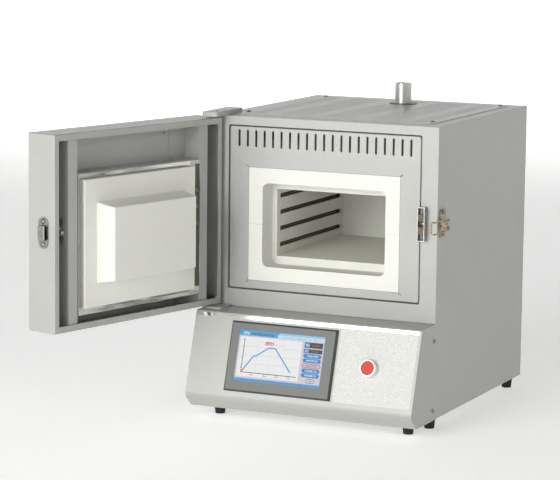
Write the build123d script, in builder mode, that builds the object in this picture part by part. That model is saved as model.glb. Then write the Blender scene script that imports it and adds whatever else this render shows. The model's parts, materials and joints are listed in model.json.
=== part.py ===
from build123d import *
import os
from math import cos, hypot, radians, sin

# Bench-top muffle kiln: a steel cabinet with a ceramic-fibre chamber stands on an electronics base
# with a sloping touch-screen console.  A box-shaped door carries the plug that closes the chamber.
#
# Millimetres.  +X is to the right, +Y to the back and +Z up.  The origin is on the floor, under the
# middle of the cabinet.  The door stands open, ready for loading: its joint is at zero there.

os.makedirs("parts", exist_ok=True)

# ---------------------------------------------------------------- driving dimensions
cabinet_width = 420.0
cabinet_depth = 436.0
cabinet_height = 334.0
base_height = 165.0
foot_height = 20.0
sheet = 1.2

chamber_width = 212.0
chamber_height = 118.0
chamber_length = 290.0
mouth_depth = 42.0

door_width = 411.0
door_thickness = 60.0
door_height = 326.0
door_floor_gap = 5.0
door_open_angle = 104.7

# ---------------------------------------------------------------- planes of the cabinet
side_x = cabinet_width / 2
front_y = -cabinet_depth / 2
back_y = cabinet_depth / 2
base_z = foot_height
seam_z = base_z + base_height
top_z = seam_z + cabinet_height


def mirrored(value):
    """The same distance on both sides of the middle."""
    return (-value, value)


# ---------------------------------------------------------------- small building helpers
def block(x, y, z, mode=Mode.ADD):
    """A block between two limits on each axis, in the open part's own axes."""
    middle = ((x[0] + x[1]) / 2, (y[0] + y[1]) / 2, (z[0] + z[1]) / 2)
    with Locations(middle):
        Box(x[1] - x[0], y[1] - y[0], z[1] - z[0], mode=mode)


def bar(radius, start, direction, length, mode=Mode.ADD):
    """A round bar, or with Mode.SUBTRACT a round hole, from a start point along a direction."""
    with Locations(Plane(origin=start, z_dir=direction)):
        Cylinder(radius, length, align=(Align.CENTER, Align.CENTER, Align.MIN), mode=mode)


def tube(outer, inner, start, direction, length):
    """A round tube from a start point along a direction."""
    bar(outer, start, direction, length)
    bar(inner, start, direction, length, mode=Mode.SUBTRACT)


def finish(part, name):
    """Label a finished piece and write its STEP file."""
    part.part.label = name
    export_step(part.part, f"parts/{name}.step")


RIGHT = (1, 0, 0)
LEFT = (-1, 0, 0)
BACK = (0, 1, 0)
FORWARD = (0, -1, 0)
UP = (0, 0, 1)
DOWN = (0, 0, -1)

# ---------------------------------------------------------------- the one screw used everywhere
screw_radius = 1.9
screw_hole = 2.05
screw_length = 8.0
head_radius = 3.9
head_height = 2.5
recess_width = 0.9
recess_length = 4.4
recess_depth = 1.3

with BuildPart() as screw:
    with BuildSketch(Plane.XZ):
        with BuildLine():
            Line((0, -screw_length), (screw_radius, -screw_length))
            Line((screw_radius, -screw_length), (screw_radius, 0))
            Line((screw_radius, 0), (head_radius, 0))
            Line((head_radius, 0), (head_radius, head_height * 0.35))
            ThreePointArc(
                (head_radius, head_height * 0.35),
                (head_radius * 0.68, head_height * 0.86),
                (0, head_height),
            )
            Line((0, head_height), (0, -screw_length))
        make_face()
    revolve(axis=Axis.Z)
    for turn in (0, 90):
        with Locations(Location((0, 0, head_height), (0, 0, turn))):
            Box(recess_length, recess_width, 2 * recess_depth, mode=Mode.SUBTRACT)


def screws_at(places):
    """Copies of the screw, each with its head's underside at a point and its head along a direction."""
    return [Plane(origin=point, z_dir=outward).location * screw.part for point, outward in places]


# ================================================================ electronics base
tongue_reach = 14.0
foot_places = [(x, y) for x in mirrored(192.0) for y in (front_y + 26.5, front_y + 412.0)]
console_foot_places = [(x, front_y - 32.0) for x in mirrored(177.0)]
console_screw_y = front_y - 5.0
console_screw_z = (seam_z - 27.5, seam_z - 148.0)
base_flange = 15.0

with BuildPart() as base_shell:
    block(mirrored(side_x), (front_y, back_y - sheet), (base_z, seam_z))
    fillet(base_shell.edges().filter_by(Axis.Y).group_by(Axis.Z)[0], radius=2)
    block(
        mirrored(side_x - sheet),
        (front_y, back_y - sheet),
        (base_z + sheet, seam_z - sheet),
        mode=Mode.SUBTRACT,
    )
    block(
        mirrored(side_x - base_flange),
        (front_y, back_y - sheet),
        (seam_z - sheet, seam_z),
        mode=Mode.SUBTRACT,
    )
    for side in (-1, 1):
        inner = sorted((side * (side_x - 2 * sheet), side * (side_x - sheet)))
        block(inner, (front_y - tongue_reach, front_y + tongue_reach), (base_z + 8, seam_z - 8))
        flange = sorted((side * (side_x - base_flange), side * (side_x - sheet)))
        block(flange, (back_y - 2 * sheet, back_y - sheet), (base_z + sheet, seam_z - sheet))
        for z in console_screw_z:
            bar(screw_hole, (side * side_x, console_screw_y, z), (-side, 0, 0), 4, Mode.SUBTRACT)
        for z in (base_z + 25, seam_z - 25):
            bar(screw_hole, (side * 203, back_y + 1, z), FORWARD, 6, Mode.SUBTRACT)
    for x, y in foot_places:
        bar(screw_hole, (x, y, 0), UP, base_z + 3, Mode.SUBTRACT)
finish(base_shell, "base_shell")

gland_place = (-120.0, seam_z - 110.0)
gland_hole = 10.0
base_panel_vents = (90.0, seam_z - 82.0)

with BuildPart() as base_back_panel:
    block(mirrored(side_x), (back_y - sheet, back_y), (base_z, seam_z))
    bar(gland_hole, (gland_place[0], back_y + 1, gland_place[1]), FORWARD, 4, Mode.SUBTRACT)
    with BuildSketch(Plane(origin=(0, back_y, 0), x_dir=RIGHT, z_dir=FORWARD)):
        with Locations((base_panel_vents[0], base_panel_vents[1])):
            with GridLocations(12, 40, 10, 2):
                SlotOverall(30, 3.4, rotation=90)
    extrude(amount=sheet, mode=Mode.SUBTRACT)
    for side in (-1, 1):
        for z in (base_z + 25, seam_z - 25):
            bar(screw_hole, (side * 203, back_y + 1, z), FORWARD, 4, Mode.SUBTRACT)
finish(base_back_panel, "base_back_panel")

# ---------------------------------------------------------------- sloping console
ledge_depth = 60.0
slope_run = 44.0
slope_drop = 143.0
under_run = 25.0
slope_length = hypot(slope_run, slope_drop)
ledge_y = front_y - ledge_depth
lip_y = ledge_y - slope_run

console_outline = [
    (front_y, seam_z),
    (ledge_y, seam_z),
    (lip_y, seam_z - slope_drop),
    (lip_y + under_run, base_z),
    (front_y, base_z),
]
# On this plane x is across the console, y climbs the slope and z stands out of it.
console_face = Plane(
    origin=(0, ledge_y, seam_z), x_dir=RIGHT, z_dir=(0, -slope_drop, slope_run)
)
slope_normal = Axis(console_face.origin, console_face.z_dir)


def on_slope(x, down, out=0.0):
    """A point on the console's face: across, down the slope from its top edge, and out of it."""
    return console_face.from_local_coords(Vector(x, -down, out))


screen_centre = (-38.0, 73.7)
screen_cutout = (190.0, 113.0)
button_centre = (124.7, 72.5)
barrel_radius = 11.0
barrel_hole = 11.2

with BuildPart() as console_shell:
    with BuildSketch(Plane.YZ) as outline:
        with BuildLine():
            Polyline(*console_outline, close=True)
        make_face()
        corners = outline.vertices().sort_by(Axis.X)
        fillet(corners[0], radius=14)
        fillet(outline.vertices().sort_by_distance((ledge_y, seam_z, 0))[0], radius=3)
        fillet(outline.vertices().sort_by_distance((lip_y + under_run, base_z, 0))[0], radius=5)
    extrude(amount=side_x, both=True)
    with BuildSketch(Plane.YZ):
        add(outline.sketch_local)
        offset(amount=-sheet)
    extrude(amount=side_x - sheet, both=True, mode=Mode.SUBTRACT)
    block(
        mirrored(side_x - sheet),
        (front_y - 2 * sheet, front_y),
        (base_z + sheet, seam_z - sheet),
        mode=Mode.SUBTRACT,
    )
    with BuildSketch(console_face):
        with Locations((screen_centre[0], -screen_centre[1])):
            Rectangle(*screen_cutout)
        with Locations((button_centre[0], -button_centre[1])):
            Circle(barrel_hole)
    extrude(amount=-2 * sheet, mode=Mode.SUBTRACT)
    for side in (-1, 1):
        for z in console_screw_z:
            bar(screw_hole, (side * side_x, console_screw_y, z), (-side, 0, 0), 4, Mode.SUBTRACT)
    for x, y in console_foot_places:
        bar(screw_hole, (x, y, 0), UP, base_z + 3, Mode.SUBTRACT)
finish(console_shell, "console_shell")

trim_span = (3.2, 8.8)
overlay_span = (10.0, 134.5)
overlay_x = (65.0, side_x - 4)
overlay_thickness = 0.5

with BuildPart() as console_overlay:
    with BuildSketch(console_face):
        with Locations((sum(overlay_x) / 2, -sum(overlay_span) / 2)):
            RectangleRounded(overlay_x[1] - overlay_x[0], overlay_span[1] - overlay_span[0], 2)
        with Locations((button_centre[0], -button_centre[1])):
            Circle(barrel_hole, mode=Mode.SUBTRACT)
    extrude(amount=overlay_thickness)
finish(console_overlay, "console_overlay")

with BuildPart() as console_trim:
    with BuildSketch(console_face):
        with Locations((0, -sum(trim_span) / 2)):
            Rectangle(cabinet_width - 8, trim_span[1] - trim_span[0])
    extrude(amount=0.8)
    fillet(console_trim.edges().filter_by(Axis.X).group_by(SortBy.DISTANCE)[0], radius=0.3)
finish(console_trim, "console_trim")

# ---------------------------------------------------------------- touch panel
bezel_size = (198.0, 121.0)
bezel_height = 5.5
bezel_bevel = 3.2
glass_centre = (-39.6, 71.3)
glass_size = (160.0, 87.0)
glass_thickness = 3.0
glass_recess = 0.6
housing_size = (188.0, 111.0)
housing_depth = 38.0

with BuildPart() as touch_bezel:
    with BuildSketch(console_face):
        with Locations((screen_centre[0], -screen_centre[1])):
            Rectangle(*bezel_size)
        with Locations((glass_centre[0], -glass_centre[1])):
            Rectangle(*glass_size, mode=Mode.SUBTRACT)
    extrude(amount=bezel_height)
    front_rim = touch_bezel.faces().sort_by(slope_normal)[-1].outer_wire().edges()
    chamfer(front_rim, length=bezel_bevel)
finish(touch_bezel, "touch_bezel")

with BuildPart() as touch_screen:
    with BuildSketch(console_face.offset(bezel_height - glass_recess - glass_thickness)):
        with Locations((glass_centre[0], -glass_centre[1])):
            Rectangle(*glass_size)
    extrude(amount=glass_thickness)
finish(touch_screen, "touch_screen")

with BuildPart() as touch_housing:
    with BuildSketch(console_face.offset(-housing_depth)):
        with Locations((screen_centre[0], -screen_centre[1])):
            RectangleRounded(*housing_size, 3)
    extrude(amount=housing_depth)
    with BuildSketch(console_face):
        with Locations((glass_centre[0], -glass_centre[1])):
            Rectangle(glass_size[0] - 1, glass_size[1] - 1)
    extrude(amount=bezel_height - glass_recess - glass_thickness)
finish(touch_housing, "touch_housing")

# ---------------------------------------------------------------- push button
ring_radius = 15.0
ring_height = 9.0
ring_bore = 12.1
barrel_depth = 20.0
spring_pocket = 8.0
spring_pocket_radius = 8.0
stem_radius = 4.0
stem_bore = 4.3
cap_radius = 11.7
cap_proud = -0.3
cap_thickness = 4.2
button_travel = 3.2
ring_base = overlay_thickness
button_plane = Plane(
    origin=on_slope(*button_centre), x_dir=RIGHT, z_dir=console_face.z_dir
)
ring_top = ring_base + ring_height
cap_top = ring_top + cap_proud
cap_under = cap_top - cap_thickness

with BuildPart(button_plane) as button_ring:
    bar(ring_radius, (0, 0, ring_base), UP, ring_height)
    fillet(button_ring.edges().filter_by(GeomType.CIRCLE).group_by(slope_normal)[-1], radius=1.6)
    bar(barrel_radius, (0, 0, -barrel_depth), UP, barrel_depth + ring_base)
    bar(ring_bore, (0, 0, ring_base + 1.2), UP, ring_height, Mode.SUBTRACT)
    bar(spring_pocket_radius, (0, 0, -spring_pocket), UP, barrel_depth, Mode.SUBTRACT)
    bar(stem_bore, (0, 0, -barrel_depth), UP, barrel_depth, Mode.SUBTRACT)
finish(button_ring, "button_ring")

with BuildPart(button_plane) as button_cap:
    bar(cap_radius, (0, 0, cap_under), UP, cap_thickness)
    fillet(button_cap.edges().filter_by(GeomType.CIRCLE).group_by(slope_normal)[-1], radius=0.9)
    bar(stem_radius, (0, 0, -barrel_depth + 2), UP, cap_under + barrel_depth - 2)
finish(button_cap, "button_cap")

with BuildPart(button_plane) as button_spring:
    tube(7.2, 5.8, (0, 0, -spring_pocket), UP, cap_under + spring_pocket)
finish(button_spring, "button_spring")

with BuildPart(button_plane) as button_contact_block:
    block(mirrored(15.0), mirrored(15.0), (-barrel_depth - 28, -barrel_depth))
    fillet(button_contact_block.edges().filter_by(slope_normal), radius=2)
    bar(stem_bore, (0, 0, -barrel_depth - 8), UP, 8, Mode.SUBTRACT)
    tube(13.0, barrel_radius + 0.1, (0, 0, -barrel_depth), UP, barrel_depth - sheet)
    tube(16.0, barrel_radius + 0.1, (0, 0, -sheet - 5), UP, 5)
finish(button_contact_block, "button_contact_block")

# ---------------------------------------------------------------- rubber feet
foot_top_radius = 10.5
foot_floor_radius = 8.5
foot_counterbore = 5.0
foot_counterbore_depth = 14.0

with BuildPart() as feet:
    with Locations(*[(x, y, 0) for x, y in foot_places + console_foot_places]):
        Cone(
            foot_floor_radius,
            foot_top_radius,
            foot_height,
            align=(Align.CENTER, Align.CENTER, Align.MIN),
        )
    fillet(feet.edges().filter_by(GeomType.CIRCLE).group_by(Axis.Z)[0], radius=1.5)
    for x, y in foot_places + console_foot_places:
        bar(foot_counterbore, (x, y, 0), UP, foot_counterbore_depth, Mode.SUBTRACT)
        bar(screw_hole, (x, y, 0), UP, foot_height, Mode.SUBTRACT)
finish(feet, "feet")

# ---------------------------------------------------------------- electronics inside the base
floor_z = base_z + sheet

with BuildPart() as power_supply:
    block((-160, -50), (40, 118), (floor_z, floor_z + 38))
    with BuildSketch(Plane.XY.offset(floor_z + 38)):
        with Locations((-105, 79)):
            with GridLocations(9, 24, 9, 2):
                SlotOverall(18, 3, rotation=90)
    extrude(amount=-1.5, mode=Mode.SUBTRACT)
finish(power_supply, "power_supply")

with BuildPart() as relay_heat_sink:
    block((40, 140), (20, 110), (floor_z, floor_z + 8))
    for fin in range(12):
        x = 40 + fin * 8.9
        block((x, x + 2), (20, 110), (floor_z + 8, floor_z + 34))
finish(relay_heat_sink, "relay_heat_sink")

with BuildPart() as solid_state_relay:
    block((60, 118), (40, 86), (floor_z + 34, floor_z + 62))
    fillet(solid_state_relay.edges().filter_by(Axis.Z), radius=3)
    for x in (70, 108):
        for y in (50, 76):
            bar(4, (x, y, floor_z + 58), UP, 4, Mode.SUBTRACT)
finish(solid_state_relay, "solid_state_relay")

with BuildPart() as terminal_block:
    block((-60, 60), (150, 172), (floor_z, floor_z + 22))
    for pole in range(9):
        x = -52 + pole * 12.2
        block((x, x + 9), (152, 170), (floor_z + 16, floor_z + 22), Mode.SUBTRACT)
finish(terminal_block, "terminal_block")

with BuildPart() as cable_gland:
    with BuildSketch(Plane(origin=(gland_place[0], back_y, gland_place[1]), z_dir=BACK)):
        RegularPolygon(14, 6)
    extrude(amount=6)
    bar(11, (gland_place[0], back_y + 6, gland_place[1]), BACK, 12)
    fillet(cable_gland.edges().filter_by(GeomType.CIRCLE).group_by(Axis.Y)[-1], radius=3)
    bar(gland_hole - 0.1, (gland_place[0], back_y, gland_place[1]), FORWARD, 12)
    bar(5, (gland_place[0], back_y + 20, gland_place[1]), FORWARD, 40, Mode.SUBTRACT)
finish(cable_gland, "cable_gland")

# ================================================================ cabinet
frame_window_x = 180.0
frame_window_z = (seam_z + 31.5, seam_z + 318.5)
frame_lip = 14.0
cover_screw_places = [(x, y) for x in mirrored(173.0) for y in (front_y + 64, front_y + 396)]
cover_opening_x = 166.0
cover_opening_y = (front_y + 42, front_y + 402)
back_screw_places = [(x, z) for x in mirrored(203.0) for z in (seam_z + 25, seam_z + 167, top_z - 25)]
latch_z = seam_z + 170.0
latch_pivot = (side_x + 8.5, front_y + 22.0)
latch_screw_z = (latch_z - 19, latch_z + 19)
catch_x = (178.0, 191.0)
catch_screw_x = sum(catch_x) / 2
hinge_x = -199.5
hinge_y = front_y - 12.6
hinge_screw_y = (front_y + 22, front_y + 50)

with BuildPart() as body_shell:
    block(mirrored(side_x), (front_y + sheet, back_y - sheet), (seam_z, top_z))
    fillet(body_shell.edges().filter_by(Axis.Y).group_by(Axis.Z)[-1], radius=2)
    block(
        mirrored(side_x - sheet),
        (front_y + sheet, back_y - sheet),
        (seam_z + sheet, top_z - sheet),
        mode=Mode.SUBTRACT,
    )
    block(mirrored(cover_opening_x), cover_opening_y, (top_z - sheet, top_z), Mode.SUBTRACT)
    for side in (-1, 1):
        flange = sorted((side * (side_x - base_flange), side * (side_x - sheet)))
        block(flange, (back_y - 2 * sheet, back_y - sheet), (seam_z + sheet, top_z - sheet))
    for x, y in cover_screw_places:
        bar(screw_hole, (x, y, top_z + 1), DOWN, 4, Mode.SUBTRACT)
    for x, z in back_screw_places:
        bar(screw_hole, (x, back_y, z), FORWARD, 4, Mode.SUBTRACT)
    for z in latch_screw_z:
        bar(screw_hole, (side_x, latch_pivot[1], z), LEFT, 4, Mode.SUBTRACT)
    for y in hinge_screw_y:
        bar(screw_hole, (hinge_x, y, top_z + 1), DOWN, 4, Mode.SUBTRACT)
finish(body_shell, "body_shell")

with BuildPart() as front_frame:
    with BuildSketch(Plane.XZ.offset(-front_y)):
        with Locations((0, (seam_z + top_z) / 2)):
            Rectangle(cabinet_width, cabinet_height)
    extrude(amount=-sheet)
    fillet(front_frame.edges().group_by(Axis.Y)[0], radius=0.9)
    window_middle = sum(frame_window_z) / 2
    window_height = frame_window_z[1] - frame_window_z[0]
    with BuildSketch(Plane.XZ.offset(-front_y)):
        with Locations((0, window_middle)):
            RectangleRounded(2 * (frame_window_x + sheet), window_height + 2 * sheet, 4.2)
    extrude(amount=-frame_lip)
    with BuildSketch(Plane.XZ.offset(-front_y)):
        with Locations((0, window_middle)):
            RectangleRounded(2 * frame_window_x, window_height, 3)
    extrude(amount=-frame_lip, mode=Mode.SUBTRACT)
    bar(screw_hole, (catch_screw_x, front_y - 1, latch_z), BACK, 4, Mode.SUBTRACT)
finish(front_frame, "front_frame")

# ---------------------------------------------------------------- recessed front panel
panel_gap = 2.2
panel_face_y = front_y + 1.0
panel_edge = 12.0
mouth_block_x = 141.0
mouth_block_z = (seam_z + 49.0, seam_z + 246.0)
mouth_window_gap = 0.5
mouth_flange = 10.0
slot_pitch = 16.0
slot_count = 21
slot_size = (29.0, 4.0)
slot_row_z = seam_z + 296.0
panel_plane = Plane.XZ.offset(-panel_face_y)
panel_half = frame_window_x - panel_gap
panel_height = window_height - 2 * panel_gap
mouth_middle = sum(mouth_block_z) / 2
mouth_window = (
    2 * (mouth_block_x + mouth_window_gap),
    mouth_block_z[1] - mouth_block_z[0] + 2 * mouth_window_gap,
)
relief_length = 9.0

with BuildPart() as front_panel:
    with BuildSketch(panel_plane):
        with Locations((0, window_middle)):
            RectangleRounded(2 * panel_half, panel_height, 4)
    extrude(amount=-panel_edge)
    fillet(front_panel.faces().sort_by(Axis.Y)[0].edges(), radius=1.6)
    with BuildSketch(panel_plane.offset(-sheet)):
        with Locations((0, window_middle)):
            RectangleRounded(2 * (panel_half - sheet), panel_height - 2 * sheet, 3)
    extrude(amount=-panel_edge, mode=Mode.SUBTRACT)
    with BuildSketch(panel_plane):
        with Locations((0, mouth_middle)):
            Rectangle(mouth_window[0] + 2 * sheet, mouth_window[1] + 2 * sheet)
    extrude(amount=-mouth_flange)
    with BuildSketch(panel_plane):
        with Locations((0, mouth_middle)):
            Rectangle(*mouth_window)
        for side in (-1, 1):
            for rise in (-1, 1):
                corner = (side * (mouth_window[0] / 2 + 1), mouth_middle + rise * (mouth_window[1] / 2 + 1))
                with Locations(corner):
                    SlotOverall(relief_length, 1.3, rotation=45 * side * rise)
    extrude(amount=-mouth_flange, mode=Mode.SUBTRACT)
    with BuildSketch(panel_plane):
        with Locations((0, slot_row_z)):
            with GridLocations(slot_pitch, 1, slot_count, 1):
                SlotOverall(*slot_size, rotation=90)
    extrude(amount=-2 * sheet, mode=Mode.SUBTRACT)
finish(front_panel, "front_panel")

# ---------------------------------------------------------------- back panel
flue_place = (4.0, front_y + 345.0)
thermocouple_z = seam_z + 150.0
back_vent_rows = (seam_z + 60.0, seam_z + 275.0)

with BuildPart() as back_panel:
    block(mirrored(side_x), (back_y - sheet, back_y), (seam_z, top_z))
    with BuildSketch(Plane(origin=(0, back_y, 0), x_dir=RIGHT, z_dir=FORWARD)):
        for z in back_vent_rows:
            with Locations((0, z)):
                with GridLocations(slot_pitch, 1, slot_count, 1):
                    SlotOverall(*slot_size, rotation=90)
    extrude(amount=sheet, mode=Mode.SUBTRACT)
    for x, z in back_screw_places:
        bar(screw_hole, (x, back_y + 1, z), FORWARD, 4, Mode.SUBTRACT)
finish(back_panel, "back_panel")

# ---------------------------------------------------------------- vented top cover
cover_x = 184.0
cover_y = (front_y + 28, front_y + 408)
cover_top = top_z + sheet
vent_pitch_y = 7.0
vent_rows = 49
vent_first_y = front_y + 54
vent_width = 3.2
vent_columns = [(-151.0, 26.0), (-83.0, 58.0), (0.0, 58.0), (83.0, 58.0), (151.0, 26.0)]
spigot_radius = 14.0
chimney_clearance = 30.0

with BuildPart() as top_cover:
    block(mirrored(cover_x), cover_y, (top_z, cover_top))
    fillet(top_cover.edges().filter_by(Axis.Z), radius=4)
    fillet(top_cover.faces().sort_by(Axis.Z)[-1].edges(), radius=0.6)
    with BuildSketch(Plane.XY.offset(cover_top)):
        for column_x, length in vent_columns:
            for row in range(vent_rows):
                y = vent_first_y + row * vent_pitch_y
                under_chimney = column_x == 0 and abs(y - flue_place[1]) < chimney_clearance
                if not under_chimney:
                    with Locations((column_x, y)):
                        SlotOverall(length, vent_width)
    extrude(amount=-sheet, mode=Mode.SUBTRACT)
    bar(spigot_radius + 0.3, (*flue_place, cover_top + 1), DOWN, 5, Mode.SUBTRACT)
    for x, y in cover_screw_places:
        bar(screw_hole, (x, y, cover_top + 1), DOWN, 4, Mode.SUBTRACT)
finish(top_cover, "top_cover")

# ---------------------------------------------------------------- chimney
flange_thickness = 2.0
flange_radius = 25.0
chimney_radius = 15.0
chimney_bore = 13.3
chimney_base_z = cover_top + flange_thickness
chimney_top_z = chimney_base_z + 36.0
spigot_z = seam_z + 300.0
duct_radius = 13.0
duct_bore = 10.0
duct_z = (seam_z + 200.0, seam_z + 330.0)

with BuildPart() as chimney_flange:
    bar(flange_radius, (*flue_place, cover_top), UP, flange_thickness)
    fillet(chimney_flange.edges().group_by(Axis.Z)[-1], radius=0.8)
    bar(spigot_radius + 0.1, (*flue_place, cover_top), UP, flange_thickness, Mode.SUBTRACT)
finish(chimney_flange, "chimney_flange")

with BuildPart() as chimney_tube:
    bar(spigot_radius, (*flue_place, spigot_z), UP, chimney_base_z - spigot_z)
    bar(chimney_radius, (*flue_place, chimney_base_z), UP, chimney_top_z - chimney_base_z)
    bar(chimney_bore, (*flue_place, spigot_z), UP, chimney_top_z - spigot_z, Mode.SUBTRACT)
finish(chimney_tube, "chimney_tube")

with BuildPart() as flue_duct:
    tube(duct_radius, duct_bore, (*flue_place, duct_z[0]), UP, duct_z[1] - duct_z[0])
finish(flue_duct, "flue_duct")

# ================================================================ fibre chamber
chamber_x = chamber_width / 2
chamber_z = (seam_z + 88.0, seam_z + 88.0 + chamber_height)
chamber_y = (front_y + mouth_depth, front_y + mouth_depth + chamber_length)
chamber_back_y = chamber_y[1] + 35.0
mouth_opening_x = 115.0
mouth_opening_z = (seam_z + 74.0, seam_z + 220.0)
mouth_corner = 11.0
mouth_split_z = mouth_middle
mouth_plane = Plane.XZ.offset(-panel_face_y)
mouth_length = chamber_y[0] - panel_face_y


with BuildPart() as mouth_lower:
    block(mirrored(mouth_block_x), (panel_face_y, chamber_y[0]), (mouth_block_z[0], mouth_split_z))
    with BuildSketch(mouth_plane):
        with Locations((0, sum(mouth_opening_z) / 2)):
            RectangleRounded(
                2 * mouth_opening_x, mouth_opening_z[1] - mouth_opening_z[0], mouth_corner
            )
    extrude(amount=-mouth_length, mode=Mode.SUBTRACT)
    chamfer(mouth_lower.faces().sort_by(Axis.Y)[0].edges().group_by(Axis.Z)[-1], length=0.5)
finish(mouth_lower, "mouth_lower")

with BuildPart() as mouth_upper:
    block(mirrored(mouth_block_x), (panel_face_y, chamber_y[0]), (mouth_split_z, mouth_block_z[1]))
    with BuildSketch(mouth_plane):
        with Locations((0, sum(mouth_opening_z) / 2)):
            RectangleRounded(
                2 * mouth_opening_x, mouth_opening_z[1] - mouth_opening_z[0], mouth_corner
            )
    extrude(amount=-mouth_length, mode=Mode.SUBTRACT)
    chamfer(mouth_upper.faces().sort_by(Axis.Y)[0].edges().group_by(Axis.Z)[0], length=0.5)
finish(mouth_upper, "mouth_upper")

groove_heights = [seam_z + 106.0 + row * 28.7 for row in range(4)]
groove_half = 4.0
groove_depth = 9.0
groove_y = (chamber_y[0] + 14, chamber_y[1] - 12)
coil_radius = 3.5
coil_bore = 2.4
coil_x = chamber_x + 4.5
coil_drop = groove_half - coil_radius
lead_radius = 1.5
lead_hole = 1.6
lead_end_y = front_y + 410.0
lead_places = [(x, z - coil_drop) for x in mirrored(coil_x) for z in groove_heights]


def side_wall(side):
    """A grooved board on one side of the chamber: -1 on the left and 1 on the right."""
    block(sorted((side * chamber_x, side * mouth_block_x)), chamber_y, chamber_z)
    for z in groove_heights:
        groove_x = sorted((side * chamber_x, side * (chamber_x + groove_depth)))
        block(groove_x, groove_y, (z - groove_half, z + groove_half), Mode.SUBTRACT)
        bar(lead_hole, (side * coil_x, groove_y[1], z - coil_drop), BACK, 20, Mode.SUBTRACT)


with BuildPart() as chamber_left_wall:
    side_wall(-1)
finish(chamber_left_wall, "chamber_left_wall")

with BuildPart() as chamber_right_wall:
    side_wall(1)
finish(chamber_right_wall, "chamber_right_wall")

with BuildPart() as chamber_floor:
    block(mirrored(mouth_block_x), (chamber_y[0], chamber_back_y), (mouth_block_z[0], chamber_z[0]))
finish(chamber_floor, "chamber_floor")

with BuildPart() as chamber_roof:
    block(mirrored(mouth_block_x), (chamber_y[0], chamber_back_y), (chamber_z[1], mouth_block_z[1]))
    bar(duct_radius + 0.1, (*flue_place, chamber_z[1]), UP, 60, Mode.SUBTRACT)
finish(chamber_roof, "chamber_roof")

with BuildPart() as chamber_back_wall:
    block(mirrored(mouth_block_x), (chamber_y[1], chamber_back_y), chamber_z)
    bar(duct_radius + 0.1, (*flue_place, duct_z[0]), UP, 20, Mode.SUBTRACT)
    bar(duct_bore, (*flue_place, seam_z + 176), UP, 40, Mode.SUBTRACT)
    bar(8, (flue_place[0], chamber_y[1], seam_z + 188), BACK, 13, Mode.SUBTRACT)
    bar(3.1, (0, chamber_y[1], thermocouple_z), BACK, 40, Mode.SUBTRACT)
    for x, z in lead_places:
        bar(lead_hole, (x, chamber_y[1], z), BACK, 40, Mode.SUBTRACT)
finish(chamber_back_wall, "chamber_back_wall")

jacket_x = 186.0
jacket_y = (front_y + frame_lip, front_y + 400.0)
jacket_z = (seam_z + 4.0, seam_z + 274.0)

with BuildPart() as insulation_jacket:
    block(mirrored(jacket_x), jacket_y, jacket_z)
    fillet(insulation_jacket.edges().filter_by(Axis.Y), radius=12)
    block(mirrored(mouth_block_x), (jacket_y[0], chamber_back_y), mouth_block_z, Mode.SUBTRACT)
    bar(duct_radius + 0.1, (*flue_place, mouth_block_z[1]), UP, 60, Mode.SUBTRACT)
    bar(3.1, (0, chamber_back_y, thermocouple_z), BACK, 60, Mode.SUBTRACT)
    for x, z in lead_places:
        bar(lead_hole, (x, chamber_back_y, z), BACK, 60, Mode.SUBTRACT)
finish(insulation_jacket, "insulation_jacket")

# ---------------------------------------------------------------- heating elements
with BuildPart() as heating_coils:
    for x, z in lead_places:
        tube(coil_radius, coil_bore, (x, groove_y[0] + 1, z), BACK, groove_y[1] - groove_y[0] - 2)
finish(heating_coils, "heating_coils")

with BuildPart() as element_leads:
    for x, z in lead_places:
        bar(lead_radius, (x, groove_y[1] - 1, z), BACK, lead_end_y - groove_y[1] + 1)
finish(element_leads, "element_leads")

with BuildPart() as element_terminals:
    for x in mirrored(coil_x):
        block(
            (x - 9, x + 9),
            (jacket_y[1], jacket_y[1] + 8),
            (groove_heights[0] - 16, groove_heights[-1] + 16),
        )
    fillet(element_terminals.edges().filter_by(Axis.Y), radius=4)
    for x, z in lead_places:
        bar(lead_hole, (x, jacket_y[1], z), BACK, 10, Mode.SUBTRACT)
finish(element_terminals, "element_terminals")

# ---------------------------------------------------------------- thermocouple
with BuildPart() as thermocouple_sheath:
    bar(3.0, (0, chamber_y[1] - 20, thermocouple_z), BACK, 92)
    fillet(thermocouple_sheath.edges().filter_by(GeomType.CIRCLE).group_by(Axis.Y)[0], radius=2.4)
finish(thermocouple_sheath, "thermocouple_sheath")

with BuildPart() as thermocouple_head:
    bar(11.0, (0, chamber_y[1] + 72, thermocouple_z), BACK, 18)
    fillet(thermocouple_head.edges().filter_by(GeomType.CIRCLE), radius=1.5)
    for x in mirrored(4.5):
        bar(1.5, (x, chamber_y[1] + 90, thermocouple_z), FORWARD, 6, Mode.SUBTRACT)
finish(thermocouple_head, "thermocouple_head")

# ================================================================ hinges
pin_radius = 3.0
pin_bore = 3.06
pin_engagement = 14.0
top_plate_thickness = 8.0
bottom_plate_thickness = 3.5
bottom_boss = 1.1
door_bottom = seam_z + door_floor_gap
door_top = door_bottom + door_height

with BuildPart() as hinge_top_plate:
    block((hinge_x - 15, hinge_x + 15), (front_y - 38, front_y + 64), (top_z, top_z + top_plate_thickness))
    fillet(hinge_top_plate.edges().filter_by(Axis.Z).group_by(Axis.Y)[0], radius=6)
    fillet(hinge_top_plate.edges().filter_by(Axis.Z).group_by(Axis.Y)[-1], radius=2)
    fillet(hinge_top_plate.faces().sort_by(Axis.Z)[-1].edges(), radius=0.8)
    bar(pin_bore, (hinge_x, hinge_y, top_z), UP, top_plate_thickness, Mode.SUBTRACT)
    for y in hinge_screw_y:
        bar(screw_hole, (hinge_x, y, top_z), UP, top_plate_thickness, Mode.SUBTRACT)
        bar(4.3, (hinge_x, y, top_z + 4), UP, top_plate_thickness, Mode.SUBTRACT)
finish(hinge_top_plate, "hinge_top_plate")

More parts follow.
